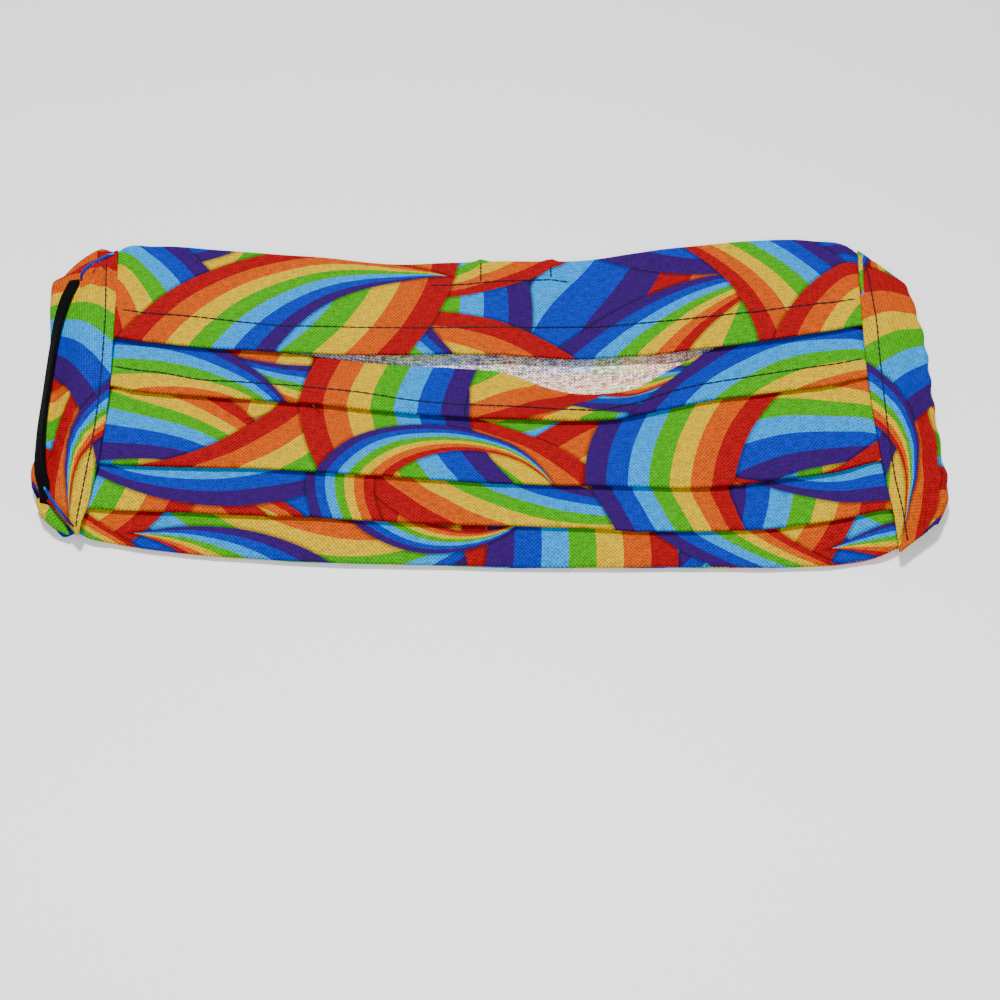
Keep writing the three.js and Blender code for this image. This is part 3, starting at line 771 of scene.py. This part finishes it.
# %% Casing sections
CASING_COLUMNS = ("along", "inner_x", "inner_y", "outer_x", "outer_y")
LEFT_CASING_ROWS = np.array([
    (0.00, -0.852, -0.86, -0.970, -0.56),
    (0.12, -0.840, -0.74, -0.979, -0.46),
    (0.30, -0.830, -0.52, -0.972, -0.32),
    (0.50, -0.825, -0.14, -0.979, -0.03),
    (0.75, -0.836, 0.36, -0.987, 0.34),
    (0.90, -0.847, 0.68, -0.998, 0.56),
    (1.00, -0.856, 0.90, -1.000, 0.70),
])
RIGHT_CASING_ROWS = np.array([
    (0.00, 0.872, -0.95, 0.960, -0.79),
    (0.06, 0.870, -0.87, 0.985, -0.69),
    (0.12, 0.867, -0.78, 0.994, -0.60),
    (0.30, 0.858, -0.50, 0.993, -0.38),
    (0.50, 0.851, -0.10, 0.993, -0.04),
    (0.70, 0.853, 0.30, 0.995, 0.29),
    (0.88, 0.862, 0.67, 0.985, 0.52),
    (1.00, 0.869, 0.90, 0.972, 0.66),
])
CASING_ROWS = {-1.0: LEFT_CASING_ROWS, 1.0: RIGHT_CASING_ROWS}
RAW_ENDS = {-1.0: LEFT_END, 1.0: RIGHT_END}
PLY = 0.47
FLOOR_PLY = 0.26
TUNNEL_HEIGHT = 3.0
CASING_TURN_IN = (7.0, 3.5, 0.25)
LOWEST = 0.23


def body_top(x, y):
    s = body_section(min(max(x / HALF_LENGTH, LEFT_END), RIGHT_END))
    low, _, high = heights(s)
    if y > s["hem"]:
        return mix(high, low, min((y - s["hem"]) / (s["top"] - s["hem"]), 1.0))
    if y < s["fold_c"]:
        return mix(high, low, min((s["fold_c"] - y) / (s["fold_c"] - s["bottom"]), 1.0))
    return high


@functools.lru_cache(maxsize=None)
def casing_corner(side, along):
    rows = CASING_ROWS[side]
    inner = [through(rows, CASING_COLUMNS, name, along) for name in ("inner_x", "inner_y")]
    edge = [through(rows, CASING_COLUMNS, name, along) for name in ("outer_x", "outer_y")]
    return (Vector((inner[0] * HALF_LENGTH, inner[1] * HALF_DEPTH)),
            Vector((edge[0] * HALF_LENGTH, edge[1] * HALF_DEPTH)))


for side in (-1.0, 1.0):
    inner, edge = casing_corner(side, 0.5)
    print("a casing is", round(abs(edge.x - inner.x), 1), "mm wide in the middle")

# %% [markdown]
# The path of a casing's cloth starts under its upper leaf, where the edge is turned in. It runs out over the
# raw end, round the tunnel and back along the floor, to the turned edge of the lower leaf.

# %% The way round a casing
def casing_path(side, floor_rise, tuck):
    def path(along):
        inner, edge = casing_corner(side, along)
        width = abs(edge.x - inner.x) - tuck * math.sin(math.pi * along)
        over = abs(RAW_ENDS[side] * HALF_LENGTH - inner.x) + 0.3
        raw = inner.lerp(edge, over / abs(edge.x - inner.x))
        top = max(body_top(inner.x, inner.y), body_top(raw.x, raw.y)) + PLY + PLY
        low = floor_rise + FLOOR_PLY
        tunnel_top = low + TUNNEL_HEIGHT
        radius = (tunnel_top - low) / 2
        start = CASING_TURN_IN[-1]
        points = [(inset, top - PLY) for inset in CASING_TURN_IN]
        points += turn((start, top - PLY), (start, top), -1.0, 5)
        points += run((start, top), (over, top + 0.1), 8)
        points += run((over, top + 0.1), (width - radius, tunnel_top), 10,
                      lambda t: mix(top + 0.1, tunnel_top, smooth(t)))
        points += turn((width - radius, tunnel_top), (width - radius, low), 1.0, 12)
        points += run((width - radius, low), (over, FLOOR_PLY), 8,
                      lambda t: mix(low, FLOOR_PLY, smooth(t * 1.2)))
        points += run((over, FLOOR_PLY), (start, FLOOR_PLY), 4)
        points += turn((start, FLOOR_PLY), (start, FLOOR_PLY + PLY), -1.0, 4)
        points += run((start, FLOOR_PLY + PLY), (6.0, FLOOR_PLY + PLY), 3)
        return points
    return path


print("the left casing's path has", len(casing_path(-1.0, 0.0, 0.0)(0.5)), "points")

# %% [markdown]
# Each point of the path is then put in its place between the casing's inner edge and its fold. The lower leaf
# reaches past the upper one at the mouths, gathers scallop the fold, puckers fan out from a corner, and the
# line of stitches presses a groove.

# %% The casings
GATHER_COUNT = 9.0
INNER_SHIFT = 2.7
STITCH_GROOVE, GROOVE_PLACE, GROOVE_WIDTH = 0.22, 2.9, 0.5


def on_casing(side, mouth_steps, seed, puckers, gathers):
    def place_point(along, point):
        u, z = point
        inner, edge = casing_corner(side, along)
        width = abs(edge.x - inner.x)
        share = min(max(u / width, 0.0), 1.0)
        near_mouth = smooth(1.0 - min(along, 1.0 - along) / 0.2)
        step = mouth_steps[1] if along > 0.5 else -mouth_steps[0]
        low = min(max(1.0 - z / 3.4, 0.0), 1.0)
        shift = step
        if side < 0:
            free = smooth(share * 2.5)
            shift = INNER_SHIFT * (1.0 - free) + step * free * (1.0 - share ** 4)
        y = mix(inner.y, edge.y, share) + shift * near_mouth * low
        x = inner.x + side * u
        upper = smooth((z - 1.0) / 2.0)
        wave = math.cos(along * GATHER_COUNT * 2.0 * math.pi + 1.5 * math.sin(along * 11.0))
        inside = smooth(8.0 * min(along, 1.0 - along))
        x += side * gathers * (wave - 1.0) / 2.0 * share * share * inside
        z += gathers * 0.35 * wave * smooth(share * 1.6 - 0.5) * upper
        z += upper * 0.16 * waves(x, y, seed, 17.0)
        top_leaf = smooth((z - 0.8) / 1.4)
        for pucker in puckers:
            down = (along - pucker["along"]) * CASING_RUN
            out = (share - pucker["share"]) * width
            far = math.hypot(down, out)
            spread = smooth((far - 1.5) / 4.0) * (1.0 - smooth((far - 9.0) / 9.0))
            fan = math.sin(math.atan2(out, abs(down)) * pucker["folds"])
            z += top_leaf * pucker["depth"] * spread * fan
        z -= upper * STITCH_GROOVE * math.exp(-((u - GROOVE_PLACE) / GROOVE_WIDTH) ** 2)
        return x, y, max(z, LOWEST)
    return place_point


CASING_RUN = 80.0
PUCKERS = [
    {"along": 1.02, "share": 0.08, "folds": 16.0, "depth": 0.45},
    {"along": 0.40, "share": 0.85, "folds": 11.0, "depth": 0.22},
]
casing_places = list(np.linspace(0.0, 1.0, 110))
left_casing, left_cut = lay_cloth(
    "left_casing_cloth", casing_path(-1.0, 0.0, 0.7), casing_places,
    on_casing(-1.0, (3.8, 7.6), 7.0, PUCKERS, 0.0),
    (printed_cotton, printed_cotton), offset=(116.9, 219.0), turned=3.8, face=1.0)
right_casing, right_cut = lay_cloth(
    "right_casing_cloth", casing_path(1.0, 1.0, 0.0), casing_places,
    on_casing(1.0, (-3.0, -3.0), 9.0, [], 0.45),
    (printed_cotton, printed_cotton), offset=(122.9, 219.0), turned=3.58, face=-1.0)

# %% [markdown]
# At a casing's mouths the cut edge is turned over and stands up as a thin roll. Each roll is a tube along a
# few places on the casing, thinner at its ends, and is joined to the casing's mesh.

# %% Rolled edges
def new_piece(name, vertices, faces, material):
    mesh = bpy.data.meshes.new(name)
    mesh.from_pydata(vertices, [], faces)
    mesh.materials.append(material)
    mesh.shade_smooth()
    piece = bpy.data.objects.new(name, mesh)
    bpy.context.scene.collection.objects.link(piece)
    return piece


def face_outwards(mesh):
    shape = bmesh.new()
    shape.from_mesh(mesh)
    bmesh.ops.recalc_face_normals(shape, faces=shape.faces)
    shape.to_mesh(mesh)
    shape.free()


def roll(piece, line, radii, flat, uv_place):
    sides, rings = 10, 24
    corners = np.array(line)
    at = np.linspace(0, len(line) - 1, rings)
    centres = np.stack([np.interp(at, range(len(line)), corners[:, axis]) for axis in range(3)], axis=1)
    widths = np.interp(at, range(len(line)), radii)
    vertices = []
    for i, centre in enumerate(centres):
        ahead, behind = centres[min(i + 1, rings - 1)], centres[max(i - 1, 0)]
        forward = Vector(ahead - behind).normalized()
        across = forward.cross(Vector((0, 0, 1))).normalized()
        up = across.cross(forward)
        for j in range(sides):
            angle = 2 * math.pi * j / sides
            reach = across * math.cos(angle) * widths[i] + up * math.sin(angle) * widths[i] * flat
            vertices.append((Vector(centre) + reach) * MM)
    faces = [(i * sides + j, i * sides + (j + 1) % sides,
              (i + 1) * sides + (j + 1) % sides, (i + 1) * sides + j)
             for i in range(rings - 1) for j in range(sides)]
    faces += [tuple(range(sides))[::-1], tuple(range((rings - 1) * sides, rings * sides))]
    tube = new_piece("roll", vertices, faces, printed_cotton)
    layer = tube.data.uv_layers.new(name="cloth")
    for loop in tube.data.loops:
        ring, side = divmod(loop.vertex_index, sides)
        place = (uv_place[0] + side * ROLL_UV_STEP[0], uv_place[1] + ring * ROLL_UV_STEP[1])
        layer.data[loop.index].uv = (place[0] / UV_SPAN, place[1] / UV_SPAN)
    face_outwards(tube.data)
    bpy.ops.object.select_all(action="DESELECT")
    tube.select_set(True)
    piece.select_set(True)
    bpy.context.view_layer.objects.active = piece
    bpy.ops.object.join()


ROLL_UV_STEP = (0.25, 0.6)
LEFT_UPPER_EDGE = [(-92.8, 40.3), (-94.8, 39.3), (-98.2, 37.2), (-99.7, 35.6), (-100.1, 33.8), (-99.9, 31.8)]
LEFT_LOWER_EDGE = [(-100.9, -27.4), (-99.4, -29.9), (-96.4, -34.0), (-92.8, -38.0)]
LEFT_LOWER_LEAF = [(-102.6, -29.8, 3.0), (-99.8, -33.0, 2.9), (-96.9, -36.2, 2.7), (-94.4, -38.6, 2.3)]
RIGHT_UPPER_EDGE = [(93.9, 39.6), (93.5, 35.0), (93.1, 30.5), (93.1, 26.5)]
left_tree, right_tree = cloth_tree(left_casing), cloth_tree(right_casing)
roll(left_casing, rest(left_tree, LEFT_UPPER_EDGE, 0.25), [0.3, 0.45, 0.45, 0.45, 0.4, 0.2], 0.8,
     (99.0, 150.0))
roll(left_casing, rest(left_tree, LEFT_LOWER_EDGE, 0.25), [0.3, 0.4, 0.4, 0.25], 0.8, (99.0, 150.0))
roll(left_casing, LEFT_LOWER_LEAF, [0.6, 1.9, 1.5, 0.3], 0.35, (81.0, 160.0))
roll(right_casing, rest(right_tree, RIGHT_UPPER_EDGE, 0.15), [0.45, 0.6, 0.5, 0.15], 0.6, (93.0, 140.0))
for piece, node, cut in ((left_casing, "left_casing", left_cut), (right_casing, "right_casing", right_cut)):
    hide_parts(node)
    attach(piece, "root")

# %% [markdown]
# The ear loops are flat braided elastic, closed into a ring inside the tunnel. The left loop comes out of its
# casing's mouth and lies along the top of the fold, where it twists on its edge for half of the way. The
# right loop passes under its casing. Each is a rounded flat section swept along its closed path.

# %% Ear loops
STRAP_WIDTH, STRAP_THICKNESS, STRAP_CORNER = 3.1, 0.9, 0.4


def strap_section():
    points = []
    for corner_x, corner_z, start in ((1, 1, 0.0), (-1, 1, 0.5), (-1, -1, 1.0), (1, -1, 1.5)):
        for i in range(4):
            angle = math.pi * (start + i / 6.0)
            points.append((corner_x * (STRAP_WIDTH / 2 - STRAP_CORNER) + STRAP_CORNER * math.cos(angle),
                           corner_z * (STRAP_THICKNESS / 2 - STRAP_CORNER) + STRAP_CORNER * math.sin(angle)))
    return points


def strap(name, stations):
    section = strap_section()
    rings, count, total = len(stations), len(section), 0.0
    lengths, vertices = [], []
    for i, (x, y, z, lean) in enumerate(stations):
        here = Vector((x, y, z))
        before, after = Vector(stations[i - 1][:3]), Vector(stations[(i + 1) % rings][:3])
        forward = (after - before).normalized()
        across = (Vector((1, 0, 0)) - forward * forward.x).normalized()
        up = across.cross(forward)
        cos, sin = math.cos(lean), math.sin(lean)
        for a, b in section:
            vertices.append((here + across * (a * cos - b * sin) + up * (a * sin + b * cos)) * MM)
        lengths.append(total)
        total += (after - here).length
    faces = [(i * count + j, i * count + (j + 1) % count,
              ((i + 1) % rings) * count + (j + 1) % count, ((i + 1) % rings) * count + j)
             for i in range(rings) for j in range(count)]
    piece = new_piece(name, vertices, faces, elastic)
    layer = piece.data.uv_layers.new(name="cloth")
    for polygon in piece.data.polygons:
        ring = polygon.index // count
        ends = (lengths[ring], lengths[ring + 1] if ring + 1 < rings else total)
        side = section[polygon.index % count], section[(polygon.index + 1) % count]
        for loop, (which, end) in zip(polygon.loop_indices, ((0, 0), (1, 0), (1, 1), (0, 1))):
            layer.data[loop].uv = (side[which][0] / UV_SPAN, ends[end] / UV_SPAN)
    face_outwards(piece.data)
    print(name, "is", round(total), "mm round")
    return piece


def half_turn(first, last, reach):
    points = []
    for i in range(1, 8):
        share = i / 8.0
        angle = math.pi * share
        y = mix(first[1], last[1], share) + reach * math.sin(angle)
        z = mix(first[2], last[2], (1 - math.cos(angle)) / 2)
        points.append((mix(first[0], last[0], smooth(share)), y, z, mix(first[3], last[3], smooth(share))))
    return points


def loop_stations(outside, tunnel, reach):
    there, back = half_turn(outside[-1], tunnel[0], reach), half_turn(tunnel[-1], outside[0], -reach)
    return outside + there + tunnel + back


LEFT_RUN_COLUMNS = ("y", "x", "z", "lean")
LEFT_RUN = np.array([
    (-28.5, -100.4, 4.3, 0.30),
    (-24.0, -102.2, 4.2, 0.40),
    (-14.0, -103.8, 3.8, 0.70),
    (0.0, -104.3, 3.7, 0.85),
    (14.0, -104.3, 3.85, 0.75),
    (22.0, -103.8, 4.2, 0.45),
    (27.0, -102.9, 4.5, 0.25),
    (31.4, -101.7, 4.2, 0.15),
])
LEFT_MOUTHS, LEFT_TUNNEL_END = (-28.5, 31.4), -31.0
RIGHT_MOUTHS = (-31.0, 28.5)


def left_station(y):
    x, z, lean = [through(LEFT_RUN, LEFT_RUN_COLUMNS, name, y) for name in ("x", "z", "lean")]
    return x, y, z, lean


left_outside = [left_station(y) for y in np.linspace(*LEFT_MOUTHS, 60)]
left_tunnel = [(-100.3, y, 1.75, 0.0) for y in np.linspace(LEFT_MOUTHS[1], LEFT_TUNNEL_END, 30)]
left_loop = strap("left_ear_loop_elastic", loop_stations(left_outside, left_tunnel, 1.2))

right_outside = [(101.0, y, 0.5, 0.0) for y in np.linspace(*RIGHT_MOUTHS, 40)]
right_tunnel = [(100.3, y, 2.6, 0.0) for y in np.linspace(*RIGHT_MOUTHS[::-1], 40)]
right_loop = strap("right_ear_loop_elastic", loop_stations(right_outside, right_tunnel, 1.0))
for piece, node in ((left_loop, "left_ear_loop"), (right_loop, "right_ear_loop")):
    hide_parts(node)
    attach(piece, "root")

# %% [markdown]
# Machine stitches are short bars of thread that dive into the cloth at both ends. Each overlaps the next a
# little, because it comes up through the hole that its neighbour went down. One bar is made from a primitive
# and then repeated along each seam, and every bar is dropped onto the cloth under it.

# %% Stitches
THREAD_WIDTH = 0.4
BAR_SAG = 0.1
HEM_STITCH, CASING_STITCH, TACK_STITCH = 2.5, 1.8, 1.3
HEM_OVERLAP, CASING_OVERLAP = 0.35, 0.15


def stitch_bar():
    bpy.ops.object.select_all(action="DESELECT")
    bpy.ops.mesh.primitive_uv_sphere_add(segments=8, ring_count=8, radius=1.0, rotation=(0, math.pi / 2, 0))
    bpy.ops.object.transform_apply(rotation=True)
    bar = bpy.context.object
    points = np.array([vertex.co[:] for vertex in bar.data.vertices])
    faces = [tuple(polygon.vertices) for polygon in bar.data.polygons]
    bpy.data.objects.remove(bar)
    return points, faces


def seam(name, tree, line, stitch=HEM_STITCH, overlap=HEM_OVERLAP):
    corners = [Vector((*place, 0.0)) for place in line]
    base, faces = stitch_bar()
    bars, bar_faces = [], []
    steps = np.concatenate([[0.0], np.cumsum([(b - a).length for a, b in zip(corners, corners[1:])])])
    xs, ys = [corner.x for corner in corners], [corner.y for corner in corners]
    for start in np.arange(0.0, steps[-1] - stitch, stitch - overlap):
        ends = [drop(tree, np.interp(at, steps, xs), np.interp(at, steps, ys))
                for at in (start, start + stitch)]
        if None in ends:
            continue
        middle = (ends[0] + ends[1]) / 2
        forward = (ends[1] - ends[0]).normalized()
        across = Vector((0, 0, 1)).cross(forward).normalized()
        up = forward.cross(across)
        sag = base[:, 0] ** 2 * BAR_SAG
        moved = (np.outer(base[:, 0] * stitch / 2, forward) + np.outer(base[:, 1] * THREAD_WIDTH / 2, across)
                 + np.outer(base[:, 2] * THREAD_WIDTH / 2 * 0.8 - sag + BAR_SAG, up) + np.array(middle))
        bar_faces += [tuple(corner + len(bars) * len(base) for corner in face) for face in faces]
        bars.append(moved)
    piece = new_piece(name, (np.concatenate(bars) * MM).tolist(), bar_faces, thread)
    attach(piece, "root")
    print(name, "has", len(bars), "stitches")


FLAP_SEAM = [(-89, 23.1), (-70, 21.3), (-50.2, 18.7), (-30.6, 18.1), (-11.1, 18.1), (8.5, 18.7), (28, 19),
             (47.7, 20.5), (67.5, 23.1), (82.5, 25.6), (91.5, 26.2)]
HEM_SEAM = [(-89, 6.4), (-78, 5.3), (-68.2, 3), (-58.6, 2.4), (-44.1, 1.2), (-29.8, -0.5), (-17.3, -3),
            (-5.9, -4.2), (8.3, -5), (17.8, -6.2), (27.1, -6.7), (36.7, -4.2), (44, -0.8), (51.3, 1.5),
            (65.8, 4.4), (80.5, 7), (91.5, 8.6)]
NOSE_SEAM = [(-13.6, 31.7), (-5.2, 32), (3.6, 33.2), (11.1, 33.5), (16.5, 33.5), (23, 32.5)]
TACKS = [[(-1, 33.0), (-1, 39.0)], [(16.5, 34.2), (16.5, 38.6)]]
LEFT_SEAM = [(-92.1, -38.4), (-91.9, -33.8), (-91.5, -26), (-91, -15.2), (-91, -4), (-91.5, 7.5),
             (-92.3, 19.3), (-93.6, 31.5), (-94.4, 38.6)]
RIGHT_SEAM = [(95.8, -41.5), (95.4, -36.5), (94.5, -26), (94.4, -15.2), (94.6, -4), (94.9, 7.5), (95.4, 19.3),
              (95.3, 31.5), (94.9, 38.2)]
flap_tree = cloth_tree(flap)
seam("flap_hem_stitches", flap_tree, FLAP_SEAM)
seam("nose_channel_stitches", flap_tree, NOSE_SEAM)
for number, line in enumerate(TACKS):
    seam("bar_tack_%d" % (number + 1), flap_tree, line, TACK_STITCH, CASING_OVERLAP)
seam("lining_hem_stitches", cloth_tree(lining), HEM_SEAM)
for name, piece, line in (("left_casing_stitches", left_casing, LEFT_SEAM),
                          ("right_casing_stitches", right_casing, RIGHT_SEAM)):
    seam(name, cloth_tree(piece), line, CASING_STITCH, CASING_OVERLAP)
